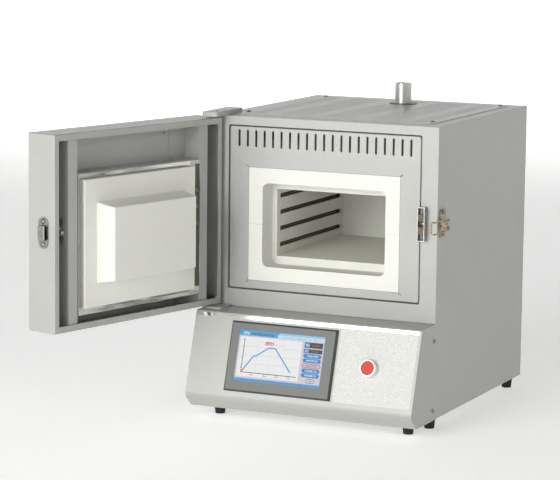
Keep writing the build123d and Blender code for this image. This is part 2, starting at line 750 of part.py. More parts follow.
with BuildPart() as hinge_bottom_plate:
    block((hinge_x - 12, hinge_x + 28), (front_y - 42, front_y - 0.5), (seam_z, seam_z + bottom_plate_thickness))
    fillet(hinge_bottom_plate.edges().filter_by(Axis.Z), radius=8)
    bar(7, (hinge_x, hinge_y, seam_z), UP, bottom_plate_thickness + bottom_boss)
    bar(pin_bore, (hinge_x, hinge_y, seam_z), UP, 6, Mode.SUBTRACT)
finish(hinge_bottom_plate, "hinge_bottom_plate")

with BuildPart() as hinge_pins:
    bar(pin_radius, (hinge_x, hinge_y, seam_z), UP, door_floor_gap + pin_engagement)
    bar(pin_radius, (hinge_x, hinge_y, door_top - pin_engagement), UP, top_z - door_top + pin_engagement)
    bar(pin_radius, (hinge_x, hinge_y, top_z), UP, top_plate_thickness)
    bar(4.5, (hinge_x, hinge_y, top_z + top_plate_thickness), UP, 1.5)
finish(hinge_pins, "hinge_pins")

# ================================================================ door
# The door is drawn closed about its hinge axis: x runs along its width from the pins, y towards
# the cabinet.  The plane turns it to where it stands open.
door_plane = Plane(
    origin=(hinge_x, hinge_y, 0),
    x_dir=(cos(radians(door_open_angle)), -sin(radians(door_open_angle)), 0),
    z_dir=UP,
)
door_x = (-6.0, -6.0 + door_width)
door_inner_y = 10.5
door_outer_y = door_inner_y - door_thickness
door_middle = -hinge_x
door_lip = 10.0
skin_x = (door_x[0] + sheet, door_x[1] - sheet)
skin_y = (door_outer_y + sheet, door_inner_y - sheet)
skin_z = (door_bottom + sheet, door_top - sheet)
door_vent_pitch = 16.0

with BuildPart(door_plane) as door_skin:
    block(door_x, (door_outer_y, door_inner_y), (door_bottom, door_top))
    fillet(door_skin.edges(), radius=1.8)
    block(skin_x, skin_y, skin_z, Mode.SUBTRACT)
    block(
        (door_x[0] + door_lip, door_x[1] - door_lip),
        (skin_y[1], door_inner_y),
        (door_bottom + door_lip + 1, door_top - door_lip - 1),
        mode=Mode.SUBTRACT,
    )
    for z in (door_top, door_bottom + sheet):
        with BuildSketch(door_plane.offset(z)):
            with Locations((door_middle, (door_outer_y + door_inner_y) / 2)):
                with GridLocations(door_vent_pitch, 18, 22, 2):
                    SlotOverall(11, 2.6)
        extrude(amount=-sheet, mode=Mode.SUBTRACT)
    bar(pin_radius + 0.6, (0, 0, door_bottom), UP, sheet, Mode.SUBTRACT)
    bar(pin_radius + 0.6, (0, 0, door_top), DOWN, sheet, Mode.SUBTRACT)
    for z in latch_screw_z:
        bar(screw_hole, (door_x[1], -14.4, z), LEFT, 4, Mode.SUBTRACT)
finish(door_skin, "door_skin")

post_offset = 160.0
post_half = 10.5
post_face_y = 7.0
liner_y = -28.0
liner_foot = 40.0
tray_x = (door_middle - 149.0, door_middle + 149.0)
tray_z = (seam_z + 29.0, seam_z + 262.0)

with BuildPart(door_plane) as door_inner_frame:
    for side in (-1, 1):
        middle = door_middle + side * post_offset
        block((middle - post_half, middle + post_half), (skin_y[0], post_face_y), skin_z)
        block(
            (middle - post_half + sheet, middle + post_half - sheet),
            (skin_y[0], post_face_y - sheet),
            skin_z,
            mode=Mode.SUBTRACT,
        )
    inner_x = (door_middle - post_offset + post_half, door_middle + post_offset - post_half)
    block(inner_x, (skin_y[0], post_face_y), (tray_z[1] + 0.2, tray_z[1] + 0.2 + sheet))
    block(inner_x, (skin_y[0], -4), (tray_z[0] - 0.2 - sheet, tray_z[0] - 0.2))
    recess_z = (tray_z[1] + 0.2, skin_z[1])
    block(inner_x, (liner_y - sheet, liner_y), recess_z)
    block((inner_x[0], inner_x[0] + liner_foot), (liner_y, liner_y + sheet), recess_z)
    bar(screw_hole, (inner_x[0] + liner_foot + 12, liner_y, door_top - 22), FORWARD, 3, Mode.SUBTRACT)
    for z in (latch_z - 9, latch_z + 9):
        bar(screw_hole, (door_middle + post_offset + post_half, -18, z), LEFT, 4, Mode.SUBTRACT)
finish(door_inner_frame, "door_inner_frame")

tray_wall = 1.0
tray_depth = 12.0
tray_floor_y = door_inner_y - tray_depth - tray_wall

with BuildPart(door_plane) as door_tray:
    block(tray_x, (tray_floor_y, door_inner_y - 1), tray_z)
    block(
        (tray_x[0] + tray_wall, tray_x[1] - tray_wall),
        (tray_floor_y + tray_wall, door_inner_y),
        (tray_z[0] + tray_wall, tray_z[1] - tray_wall),
        mode=Mode.SUBTRACT,
    )
    for z in (seam_z + 151, seam_z + 180, seam_z + 209):
        bar(4.0, (tray_x[0] - 1, door_inner_y - 7, z), RIGHT, 3, Mode.SUBTRACT)
finish(door_tray, "door_tray")

slab_half = (135.5, 106.5)
plug_middle_z = seam_z + 145.5
plug_base = (214.0, 136.0)
plug_height = 34.0
plug_draft = 11.5
slab_y = (tray_floor_y + tray_wall, door_inner_y)
plug_plane = Plane(
    origin=door_plane.from_local_coords(Vector(door_middle, door_inner_y, plug_middle_z)),
    x_dir=-door_plane.x_dir,
    z_dir=door_plane.y_dir,
)
plug_axis = Axis(plug_plane.origin, plug_plane.z_dir)

with BuildPart() as door_plug:
    with BuildSketch(plug_plane.offset(slab_y[0] - slab_y[1])):
        Rectangle(2 * slab_half[0], 2 * slab_half[1])
    extrude(amount=slab_y[1] - slab_y[0])
    fillet(door_plug.faces().sort_by(plug_axis)[-1].edges(), radius=1.2)
    with BuildSketch(plug_plane):
        RectangleRounded(*plug_base, 3)
    extrude(amount=plug_height, taper=plug_draft)
    fillet(door_plug.faces().sort_by(plug_axis)[-1].edges(), radius=1.5)
finish(door_plug, "door_plug")

with BuildPart(door_plane) as door_backing:
    block((tray_x[0] + 1, tray_x[1] - 1), (skin_y[0], tray_floor_y), (tray_z[0] + 1, tray_z[1] - 1))
finish(door_backing, "door_backing")

with BuildPart(door_plane) as door_pivot_blocks:
    for z in ((skin_z[0], skin_z[0] + pin_engagement), (skin_z[1] - pin_engagement, skin_z[1])):
        block((skin_x[0], 8), (-9, skin_y[1]), z)
    bar(pin_bore, (0, 0, door_bottom), UP, door_height, Mode.SUBTRACT)
finish(door_pivot_blocks, "door_pivot_blocks")

# ---------------------------------------------------------------- keeper on the door's free edge
keeper_y = -14.4
keeper_size = (52.0, 22.0)
keeper_thickness = 1.5
hood_size = (25.0, 15.0)
hood_height = 5.5
hood_wall = 1.5
door_end_plane = Plane(
    origin=door_plane.from_local_coords(Vector(door_x[1], keeper_y, latch_z)),
    x_dir=UP,
    z_dir=door_plane.x_dir,
)
door_end_axis = Axis(door_end_plane.origin, door_end_plane.z_dir)

with BuildPart() as door_keeper:
    with BuildSketch(door_end_plane):
        SlotOverall(*keeper_size)
        with Locations((-19, 0), (19, 0)):
            Circle(screw_hole, mode=Mode.SUBTRACT)
    extrude(amount=keeper_thickness)
    with BuildSketch(door_end_plane.offset(keeper_thickness)):
        RectangleRounded(*hood_size, 3)
    extrude(amount=hood_height)
    fillet(door_keeper.faces().sort_by(door_end_axis)[-1].edges(), radius=1.2)
    with BuildSketch(door_end_plane.offset(keeper_thickness)):
        with Locations((0, -2 * hood_wall)):
            Rectangle(hood_size[0] - 2 * hood_wall, hood_size[1] + hood_wall)
    extrude(amount=hood_height - hood_wall, mode=Mode.SUBTRACT)
finish(door_keeper, "door_keeper")

# ---------------------------------------------------------------- strike tongue inside the door
strike_x = door_middle + post_offset + post_half
tongue_x = (381.0, 387.0)
tongue_half = 3.3

with BuildPart(door_plane) as door_strike:
    block((strike_x, strike_x + 1.5), (-28, -4), (latch_z - 20, latch_z + 20))
    block((strike_x, tongue_x[1] + 1), (-9.5, -8), (latch_z - 8, latch_z + 8))
    block(tongue_x, (-8, 7.2), (latch_z - tongue_half, latch_z + tongue_half))
    tip = door_strike.edges().filter_by(Axis(door_plane.origin, door_plane.x_dir))
    fillet(tip.sort_by(Axis(door_plane.origin, door_plane.y_dir))[-2:], radius=2.6)
    for z in (latch_z - 9, latch_z + 9):
        bar(screw_hole, (strike_x - 1, -18, z), RIGHT, 4, Mode.SUBTRACT)
finish(door_strike, "door_strike")

door_screw_places = [((door_x[1] + keeper_thickness, keeper_y, z), RIGHT) for z in latch_screw_z]
door_screw_places += [((strike_x + 1.5, -18, z), RIGHT) for z in (latch_z - 9, latch_z + 9)]

with BuildPart() as door_screws:
    for placed in screws_at(door_screw_places):
        add(door_plane.location * placed)
finish(door_screws, "door_screws")

# ================================================================ roller catch on the front frame
catch_depth = 12.0
catch_half = 29.0
catch_wall = 1.2
catch_base = 1.5
jaw_gap = 3.6
jaw_length = 13.0
jaw_radius = 3.4
jaw_y = (front_y - catch_depth + 0.3, front_y - 4.6)

with BuildPart() as catch_housing:
    block(catch_x, (front_y - catch_depth, front_y), (latch_z - catch_half, latch_z + catch_half))
    fillet(catch_housing.edges().filter_by(Axis.Y), radius=1)
    block(
        (catch_x[0] + catch_wall, catch_x[1] - catch_wall),
        (front_y - catch_depth, front_y - catch_base),
        (latch_z - catch_half + catch_wall, latch_z + catch_half - catch_wall),
        mode=Mode.SUBTRACT,
    )
    bar(screw_hole, (catch_screw_x, front_y - 3, latch_z), BACK, 4, Mode.SUBTRACT)
finish(catch_housing, "catch_housing")


def catch_jaw(side):
    """A round-nosed sliding jaw: 1 above the tongue and -1 below it."""
    block(
        (catch_x[0] + catch_wall + 0.3, catch_x[1] - catch_wall - 0.3),
        jaw_y,
        sorted((latch_z + side * jaw_gap, latch_z + side * (jaw_gap + jaw_length))),
    )


with BuildPart() as catch_upper_jaw:
    catch_jaw(1)
    fillet(catch_upper_jaw.edges().filter_by(Axis.X).group_by(Axis.Z)[0], radius=jaw_radius)
finish(catch_upper_jaw, "catch_upper_jaw")

with BuildPart() as catch_lower_jaw:
    catch_jaw(-1)
    fillet(catch_lower_jaw.edges().filter_by(Axis.X).group_by(Axis.Z)[-1], radius=jaw_radius)
finish(catch_lower_jaw, "catch_lower_jaw")

spring_length = catch_half - catch_wall - jaw_gap - jaw_length

with BuildPart() as catch_springs:
    for side in (-1, 1):
        start = (sum(catch_x) / 2, sum(jaw_y) / 2, latch_z + side * (jaw_gap + jaw_length))
        tube(2.8, 2.0, start, (0, 0, side), spring_length)
finish(catch_springs, "catch_springs")

# ================================================================ draw latch on the right side
latch_plate = 1.5
ear_z = (4.0, 5.5)
cheek_z = (5.8, 7.3)
latch_pin_radius = 2.0
bail_radius = 1.4
bail_half = 10.0
bail_hole = 1.46
bail_offset = (-3.13, 7.36)
bail_reach = 66.4
bail_hook = 5.1
lever_turn = 160.0

with BuildPart() as latch_base:
    with BuildSketch(Plane(origin=(side_x, latch_pivot[1], latch_z), x_dir=UP, z_dir=RIGHT)):
        RectangleRounded(50, 26, 7)
        with Locations((0, 16), (0, -16)):
            Circle(5, mode=Mode.SUBTRACT)
        with Locations((-19, 0), (19, 0)):
            Circle(screw_hole, mode=Mode.SUBTRACT)
    extrude(amount=latch_plate)
    for side in (-1, 1):
        with BuildSketch(Plane.XY.offset(latch_z + (ear_z[0] if side > 0 else -ear_z[1]))):
            with Locations(latch_pivot):
                Circle(4)
                with Locations((-3.5, 0)):
                    Rectangle(7, 8)
        extrude(amount=ear_z[1] - ear_z[0])
    bar(latch_pin_radius + 0.05, (*latch_pivot, latch_z - 10), UP, 20, Mode.SUBTRACT)
finish(latch_base, "latch_base")

with BuildPart() as latch_pin:
    bar(latch_pin_radius, (*latch_pivot, latch_z - 8.2), UP, 16.4)
    bar(2.8, (*latch_pivot, latch_z - 8.2), UP, 0.7)
    bar(2.8, (*latch_pivot, latch_z + 7.5), UP, 0.7)
finish(latch_pin, "latch_pin")

# The lever is drawn folded back against the cabinet and turned to where it stands open.
lever_plane = Plane(
    origin=(*latch_pivot, latch_z),
    x_dir=(cos(radians(lever_turn)), -sin(radians(lever_turn)), 0),
    z_dir=UP,
)
lever_outline = [(-3, -3), (3.6, -3), (3.6, 34), (1.2, 34), (-1, 24), (-1, 14), (-5.8, 10.5), (-5.8, 4.6)]
lever_web_x = (2.2, 3.6)

with BuildPart(lever_plane) as latch_lever:
    with BuildSketch(lever_plane.offset(-cheek_z[1])):
        Polygon(*lever_outline, align=None)
    extrude(amount=2 * cheek_z[1])
    block((-10, lever_web_x[0]), (-10, 40), mirrored(cheek_z[0]), Mode.SUBTRACT)
    block((0, 10), (-10, 12), mirrored(cheek_z[0]), Mode.SUBTRACT)
    block((lever_web_x[0], 8), (32.6, 34), mirrored(cheek_z[1]))
    bar(latch_pin_radius + 0.05, (0, 0, -10), UP, 20, Mode.SUBTRACT)
    bar(bail_hole, (*bail_offset, -10), UP, 20, Mode.SUBTRACT)
finish(latch_lever, "latch_lever")

bail_pivot = lever_plane.from_local_coords(Vector(*bail_offset, 0))
bail_route = [
    (0, 0, 5.9),
    (0, 0, bail_half),
    (0, -bail_reach, bail_half),
    (-bail_hook, -bail_reach, bail_half),
    (-bail_hook, -bail_reach, -bail_half),
    (0, -bail_reach, -bail_half),
    (0, 0, -bail_half),
    (0, 0, -5.9),
]

with BuildPart() as latch_bail:
    with BuildLine(Plane(origin=bail_pivot)) as bail_line:
        FilletPolyline(*bail_route, radius=2.2)
    with BuildSketch(Plane(origin=bail_line.line @ 0, z_dir=bail_line.line % 0)):
        Circle(bail_radius)
    sweep()
finish(latch_bail, "latch_bail")

# ================================================================ screws that hold the kiln together
panel_screw_places = [((x, y, cover_top), UP) for x, y in cover_screw_places]
panel_screw_places += [((x, back_y, z), BACK) for x, z in back_screw_places]
panel_screw_places += [
    ((side * 203, back_y, z), BACK) for side in (-1, 1) for z in (base_z + 25, seam_z - 25)
]
panel_screw_places += [
    ((side * side_x, console_screw_y, z), (side, 0, 0)) for side in (-1, 1) for z in console_screw_z
]
panel_screw_places += [
    ((x, y, foot_counterbore_depth), DOWN) for x, y in foot_places + console_foot_places
]
panel_screw_places += [((hinge_x, y, top_z + 4), UP) for y in hinge_screw_y]
panel_screw_places += [((side_x + latch_plate, latch_pivot[1], z), RIGHT) for z in latch_screw_z]
panel_screw_places += [((catch_screw_x, front_y - catch_base, latch_z), FORWARD)]

with BuildPart() as panel_screws:
    for placed in screws_at(panel_screw_places):
        add(placed)
finish(panel_screws, "panel_screws")
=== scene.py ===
import json
from math import cos, pi, radians, sin

import bpy
from bpy.props import FloatProperty, FloatVectorProperty, PointerProperty
from mathutils import Matrix, Vector


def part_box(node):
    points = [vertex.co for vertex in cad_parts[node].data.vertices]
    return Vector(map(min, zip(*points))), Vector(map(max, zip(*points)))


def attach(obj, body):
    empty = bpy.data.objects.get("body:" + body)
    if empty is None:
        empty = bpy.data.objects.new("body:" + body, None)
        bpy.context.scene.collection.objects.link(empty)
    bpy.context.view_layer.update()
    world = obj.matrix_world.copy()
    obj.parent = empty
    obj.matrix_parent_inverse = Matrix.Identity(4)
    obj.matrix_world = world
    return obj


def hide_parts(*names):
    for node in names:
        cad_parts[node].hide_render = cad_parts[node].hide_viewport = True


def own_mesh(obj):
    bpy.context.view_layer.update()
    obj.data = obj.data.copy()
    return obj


bl_info = {
    "name": "Bench-top Muffle Kiln",
    "version": (1, 0, 0),
    "blender": (4, 5, 0),
    "location": "View3D > Sidebar > Kiln",
    "description": "Finishes the parts of a bench-top muffle kiln and stands it in a small studio",
    "category": "Object",
}

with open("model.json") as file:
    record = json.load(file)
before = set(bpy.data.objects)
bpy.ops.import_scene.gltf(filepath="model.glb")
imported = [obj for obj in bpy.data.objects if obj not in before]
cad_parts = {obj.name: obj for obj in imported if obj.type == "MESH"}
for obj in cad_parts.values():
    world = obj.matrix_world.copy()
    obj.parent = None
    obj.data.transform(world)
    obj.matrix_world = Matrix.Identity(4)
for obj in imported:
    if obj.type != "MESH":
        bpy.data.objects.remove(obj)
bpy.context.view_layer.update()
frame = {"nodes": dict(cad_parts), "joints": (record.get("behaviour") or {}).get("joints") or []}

MM = 0.001
COIL_RADIUS = 3.5 * MM
BUTTON_SPRING = (6.6 * MM, 0.6 * MM)
JAW_SPRING = (2.4 * MM, 0.4 * MM)
JAW_SPRING_LENGTH = 11.2 * MM
BUTTON_TRAVEL = 3.2 * MM
JAW_TRAVEL = 3.0 * MM
SLOPE_UP = (0, 44, 143)
SLOPE_OUT = (0, -143, 44)
FLOOR_RADIUS = 6.5
FLOOR_SIDES = 72
COVE = 1.5
CAMERA_PLACE = (1.7299, -4.1196, 0.9505)
CAMERA_YAW = radians(-24.89)
CAMERA_PITCH = radians(8.495)
CAMERA_ROLL = radians(0.62)
CAMERA_LENS = 162.06
CAMERA_SENSOR = 36.0


# ---------------------------------------------------------------- shader expressions
class Value:
    """A shader socket that can stand in an arithmetic expression."""

    def __init__(self, tree, socket):
        self.tree = tree
        self.socket = socket

    def math(self, operation, first, second=0.0):
        """Add one Math node and return its result."""
        node = self.tree.nodes.new("ShaderNodeMath")
        node.operation = operation
        for entry, operand in zip(node.inputs, (first, second)):
            if isinstance(operand, Value):
                self.tree.links.new(operand.socket, entry)
            else:
                entry.default_value = operand
        return Value(self.tree, node.outputs[0])

    def __add__(self, other):
        return self.math("ADD", self, other)

    __radd__ = __add__

    def __sub__(self, other):
        return self.math("SUBTRACT", self, other)

    def __rsub__(self, other):
        return self.math("SUBTRACT", other, self)

    def __mul__(self, other):
        return self.math("MULTIPLY", self, other)

    __rmul__ = __mul__

    def __truediv__(self, other):
        return self.math("DIVIDE", self, other)

    def __gt__(self, other):
        return self.math("GREATER_THAN", self, other)

    def __lt__(self, other):
        return self.math("LESS_THAN", self, other)

    def floor(self):
        """The whole number below this value."""
        return self.math("FLOOR", self)

    def clamped(self):
        """This value kept between 0 and 1."""
        return self.math("MAXIMUM", self.math("MINIMUM", self, 1.0), 0.0)

    def within(self, low, high):
        """1 where this value lies between two limits, and 0 elsewhere."""
        return (self > low) * (self < high)


class Sketch:
    """A flat picture built from masks laid over each other, measured in millimetres."""

    def __init__(self, finish, across, up):
        self.finish = finish
        self.across = across
        self.up = up
        self.color = (0.0, 0.0, 0.0)

    def fill(self, color, mask=None):
        """Lay one colour over the picture, everywhere or where the mask is 1."""
        self.color = opaque(color) if mask is None else self.finish.mix(mask, self.color, color)

    def area(self, left, right, bottom, top):
        """A rectangle."""
        return self.across.within(left, right) * self.up.within(bottom, top)

    def stroke(self, start, end, thickness):
        """A straight line with round ends."""
        run = Vector(end) - Vector(start)
        x = self.across - start[0]
        y = self.up - start[1]
        share = ((x * run.x + y * run.y) / run.length_squared).clamped()
        off_x = x - share * run.x
        off_y = y - share * run.y
        return (off_x * off_x + off_y * off_y) < (thickness / 2) ** 2

    def marks(self, left, right, bottom, top, size, share):
        """Rows of small scattered cells that read as lettering without being any."""
        cell = {0: (self.across / size).floor(), 1: (self.up / size).floor()}
        place = self.finish.node("ShaderNodeCombineXYZ", None, cell)
        settings = {"noise_dimensions": "3D"}
        chance = self.finish.node("ShaderNodeTexWhiteNoise", settings, {"Vector": place})
        return self.area(left, right, bottom, top) * (chance < share)

    def dots(self, left, right, bottom, top, pitch):
        """A row of evenly spaced dots."""
        turn = self.across / pitch
        return self.area(left, right, bottom, top) * ((turn - turn.floor()) < 0.38)


class Finish:
    """A material with one Principled shader, and the nodes that feed it."""

    def __init__(self, name, color, roughness, metallic=0.0, **constants):
        self.material = bpy.data.materials.new(name)
        self.material.use_nodes = True
        self.tree = self.material.node_tree
        self.shader = self.tree.nodes["Principled BSDF"]
        self.feed("Base Color", opaque(color))
        self.feed("Roughness", roughness)
        self.feed("Metallic", metallic)
        for socket, value in constants.items():
            self.feed(socket.replace("_", " ").title().replace("Ior", "IOR"), value)

    def feed(self, socket, value):
        """Give one of the shader's sockets a constant or a link."""
        if isinstance(value, Value):
            self.tree.links.new(value.socket, self.shader.inputs[socket])
        else:
            self.shader.inputs[socket].default_value = value

    def node(self, kind, settings=None, inputs=None, output=0):
        """Add a node of any kind: its settings first, then its sockets, and return one output."""
        node = self.tree.nodes.new(kind)
        for key, value in (settings or {}).items():
            setattr(node, key, value)
        for key, value in (inputs or {}).items():
            if isinstance(value, Value):
                self.tree.links.new(value.socket, node.inputs[key])
            else:
                node.inputs[key].default_value = value
        return Value(self.tree, node.outputs[output])

    def place(self):
        """The point on the piece, in metres, in the kiln's frame."""
        return self.node("ShaderNodeTexCoord", output=3)

    def stretched(self, scale):
        """The point on the piece with each axis scaled on its own."""
        return self.node(
            "ShaderNodeVectorMath",
            {"operation": "MULTIPLY"},
            {0: self.place(), 1: scale},
        )

    def along(self, direction):
        """How far the point lies along a direction, in metres."""
        settings = {"operation": "DOT_PRODUCT"}
        return self.node("ShaderNodeVectorMath", settings, {0: self.place(), 1: direction}, 1)

    def noise(self, scale, detail=2.0, roughness=0.5, vector=None, distortion=0.0):
        """Soft noise, about 0.5 on average."""
        inputs = {
            "Vector": vector or self.place(),
            "Scale": scale,
            "Detail": detail,
            "Roughness": roughness,
            "Distortion": distortion,
        }
        return self.node("ShaderNodeTexNoise", None, inputs)

    def cells(self, scale, vector=None):
        """The distance to the nearest of many scattered points."""
        inputs = {"Vector": vector or self.place(), "Scale": scale}
        return self.node("ShaderNodeTexVoronoi", None, inputs)

    def ramp(self, value, low, high):
        """A value turned into a mask that climbs from 0 to 1 between two limits."""
        inputs = {"Value": value, "From Min": low, "From Max": high}
        return self.node("ShaderNodeMapRange", {"interpolation_type": "SMOOTHSTEP"}, inputs)

    def mix(self, mask, first, second):
        """The first colour where the mask is 0 and the second where it is 1."""
        colors = [c if isinstance(c, Value) else opaque(c) for c in (first, second)]
        settings = {"data_type": "RGBA"}
        return self.node("ShaderNodeMix", settings, {0: mask, 6: colors[0], 7: colors[1]}, 2)

    def bump(self, height, distance, strength=1.0, under=None):
        """Feed the shader's normal from a height between 0 and 1, with its depth in metres."""
        inputs = {"Height": height, "Distance": distance, "Strength": strength}
        if under is not None:
            inputs["Normal"] = under
        normal = self.node("ShaderNodeBump", None, inputs)
        self.feed("Normal", normal)
        return normal


def opaque(color):
    """A colour with its alpha, as the sockets want it."""
    return (*color[:3], 1.0)


def shade(color, factor):
    """A lighter or darker version of a colour."""
    return tuple(min(1.0, channel * factor) for channel in color[:3])


def dress(finish, *nodes):
    """Give a finish to parts of the frame."""
    for name in nodes:
        part = frame["nodes"][name]
        for slot in part.material_slots:
            slot.material = finish.material


# ---------------------------------------------------------------- mesh helpers
def new_piece(name, vertices, faces, finish, body, smooth=True):
    """Make a mesh piece that rides on a body and takes its finish from a slot."""
    mesh = bpy.data.meshes.new(name)
    mesh.from_pydata(vertices, [], faces)
    mesh.update()
    for polygon in mesh.polygons:
        polygon.use_smooth = smooth
    mesh.materials.append(finish.material)
    piece = bpy.data.objects.new(name, mesh)
    bpy.context.scene.collection.objects.link(piece)
    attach(piece, body)
    return piece


def helix_points(start, axis, across, length, radius, turns, per_turn, closed_turns=1.0):
    """Points along a wound wire, with its end turns lying close together."""
    other = axis.cross(across)
    count = int(turns * per_turn)
    points = []
    for step in range(count + 1):
        turn = step / per_turn
        share = smooth_share(turn / turns, closed_turns / turns)
        angle = 2 * pi * turn
        swing = across * cos(angle) + other * sin(angle)
        points.append(start + axis * (length * share) + swing * radius)
    return points


def smooth_share(share, ends):
    """How far along a spring its wire is, slower in the end turns."""
    if ends <= 0:
        return share
    slow = 0.35
    middle = (1 - 2 * ends * slow) / (1 - 2 * ends)
    if share < ends:
        return share * slow
    if share > 1 - ends:
        return 1 - (1 - share) * slow
    return ends * slow + (share - ends) * middle


def wire(points, radius, sides):
    """The vertices and faces of a round wire along some points, with closed ends."""
    vertices = []
    faces = []
    side = Vector((0, 0, 1))
    for index, point in enumerate(points):
        before = points[max(index - 1, 0)]
        after = points[min(index + 1, len(points) - 1)]
        forward = (after - before).normalized()
        if abs(forward.dot(side)) > 0.99:
            side = Vector((1, 0, 0))
        side = (side - forward * side.dot(forward)).normalized()
        other = forward.cross(side)
        for corner in range(sides):
            angle = 2 * pi * corner / sides
            vertices.append(point + (side * cos(angle) + other * sin(angle)) * radius)
    for ring in range(len(points) - 1):
        for corner in range(sides):
            low = ring * sides + corner
            high = ring * sides + (corner + 1) % sides
            faces.append((low, high, high + sides, low + sides))
    faces.append(tuple(reversed(range(sides))))
    last = (len(points) - 1) * sides
    faces.append(tuple(range(last, last + sides)))
    return vertices, faces


# ---------------------------------------------------------------- settings
class KilnPaint(bpy.types.PropertyGroup):
    """The cabinet's paint"""

    color: FloatVectorProperty(
        name="Paint",
        description="Colour of the painted sheet",
        subtype="COLOR",
        default=(0.405, 0.411, 0.387),
        min=0.0,
        max=1.0,
    )
    grain: FloatProperty(
        name="Grain",
        description="Width of one grain of the paint's fine texture",
        default=0.0011,
        min=0.0002,
        unit="LENGTH",
    )
    film: FloatVectorProperty(
        name="Film",
        description="Colour of the speckled film round the button",
        subtype="COLOR",
        default=(0.60, 0.613, 0.566),
        min=0.0,
        max=1.0,
    )


class KilnFibre(bpy.types.PropertyGroup):
    """The ceramic fibre"""

    color: FloatVectorProperty(
        name="Fibre",
        description="Colour of the fibre boards",
        subtype="COLOR",
        default=(0.80, 0.80, 0.735),
        min=0.0,
        max=1.0,
    )
    stain: FloatVectorProperty(
        name="Stain",
        description="Colour that the first firings leave in patches",
        subtype="COLOR",
        default=(0.74, 0.68, 0.55),
        min=0.0,
        max=1.0,
    )
    pit: FloatProperty(
        name="Pits",
        description="Depth of the fibre's small pits",
        default=0.00035,
        min=0.0,
        unit="LENGTH",
    )


class KilnCoils(bpy.types.PropertyGroup):
    """The wound heating elements"""

    wire: FloatProperty(
        name="Wire",
        description="Diameter of the heating wire",
        default=0.0019,
        min=0.0004,
        max=0.0025,
        unit="LENGTH",
    )
    pitch: FloatProperty(
        name="Pitch",
        description="Distance from one turn of the heating coil to the next",
        default=0.0066,
        min=0.003,
        unit="LENGTH",
    )
    color: FloatVectorProperty(
        name="Scale",
        description="Colour of the oxide scale on the heating wire",
        subtype="COLOR",
        default=(0.055, 0.041, 0.027),
        min=0.0,
        max=1.0,
    )


class KilnScreen(bpy.types.PropertyGroup):
    """The display's picture"""

    title: FloatVectorProperty(
        name="Bars",
        description="Colour of the title bar and the status bar",
        subtype="COLOR",
        default=(0.03, 0.38, 0.82),
        min=0.0,
        max=1.0,
    )
    bar: FloatVectorProperty(
        name="Buttons",
        description="Colour of the buttons",
        subtype="COLOR",
        default=(0.021, 0.205, 0.578),
        min=0.0,
        max=1.0,
    )
    ground: FloatVectorProperty(
        name="Ground",
        description="Colour round the chart",
        subtype="COLOR",
        default=(0.72, 0.63, 0.69),
        min=0.0,
        max=1.0,
    )
    curve: FloatVectorProperty(
        name="Curve",
        description="Colour of the heating curve",
        subtype="COLOR",
        default=(0.06, 0.36, 0.74),
        min=0.0,
        max=1.0,
    )
    glow: FloatProperty(
        name="Glow",
        description="Strength of the display's own light",
        default=0.78,
        min=0.0,
    )


class KilnButton(bpy.types.PropertyGroup):
    """The push button"""

    cap: FloatVectorProperty(
        name="Cap",
        description="Colour of the button's cap",
        subtype="COLOR",
        default=(0.64, 0.052, 0.032),
        min=0.0,
        max=1.0,
    )
    collar: FloatVectorProperty(
        name="Collar",
        description="Colour of the ring round the cap",
        subtype="COLOR",
        default=(0.80, 0.80, 0.80),
        min=0.0,
        max=1.0,
    )


class KilnStage(bpy.types.PropertyGroup):
    """The studio"""

    floor: FloatVectorProperty(
        name="Floor",
        description="Colour of the floor and the backdrop",
        subtype="COLOR",
        default=(0.96, 0.96, 0.955),
        min=0.0,
        max=1.0,
    )
    key: FloatProperty(
        name="Key Light",
        description="Power of the large light in front of the kiln",
        default=88.0,
        min=0.0,
        unit="POWER",
    )
    front: FloatProperty(
        name="Front Light",
        description="Power of the smaller light that reaches into the chamber",
        default=24.0,
        min=0.0,
        unit="POWER",
    )
    fill: FloatProperty(
        name="Fill Light",
        description="Power of the light on the right",
        default=2.0,
        min=0.0,
        unit="POWER",
    )
    top: FloatProperty(
        name="Top Light",
        description="Power of the light overhead",
        default=2.0,
        min=0.0,
        unit="POWER",
    )
    wall: FloatProperty(
        name="Backdrop Light",
        description="Power of the light that brightens the backdrop alone",
        default=70.0,
        min=0.0,
        unit="POWER",
    )
    lift: FloatProperty(
        name="Paper Glow",
        description="Even light that the paper gives off, so that it stays near white",
        default=0.39,
        min=0.0,
    )
    sky: FloatProperty(
        name="Sky",
        description="Strength of the even light from all round",
        default=0.04,
        min=0.0,
    )


# ---------------------------------------------------------------- finishes
def textured_paint(name, color, grain):
    """Satin powder coat: a fine orange-peel grain over a faintly uneven colour."""
    finish = Finish(name, color, 0.42, 0.12, coat_weight=0.12, coat_roughness=0.3)
    peel = finish.noise(1 / grain, 3.0, 0.6)
    cloud = finish.noise(14.0, 3.0, 0.5)
    flake = finish.noise(2.3 / grain, 1.0, 0.5)
    mottle = finish.mix(finish.ramp(cloud, 0.3, 0.7), shade(color, 0.985), shade(color, 1.015))
    speckled = finish.mix(finish.ramp(flake, 0.58, 0.72) * 0.35, mottle, shade(color, 1.22))
    finish.feed("Base Color", speckled)
    finish.feed("Roughness", 0.36 + peel * 0.14)
    finish.bump(peel, 0.00010, 0.55)
    return finish


def brushed_steel(name, color, scale, rough=0.3):
    """Stainless sheet or tube with fine brush lines, closest together along the smallest scale."""
    finish = Finish(name, color, rough, 1.0)
    lines = finish.noise(1.0, 4.0, 0.7, finish.stretched(scale))
    smear = finish.noise(22.0, 2.0)
    finish.feed("Base Color", finish.mix(lines, shade(color, 0.84), shade(color, 1.1)))
    finish.feed("Roughness", rough - 0.1 + lines * 0.18 + smear * 0.06)
    finish.bump(lines, 0.00003, 0.6)
    return finish


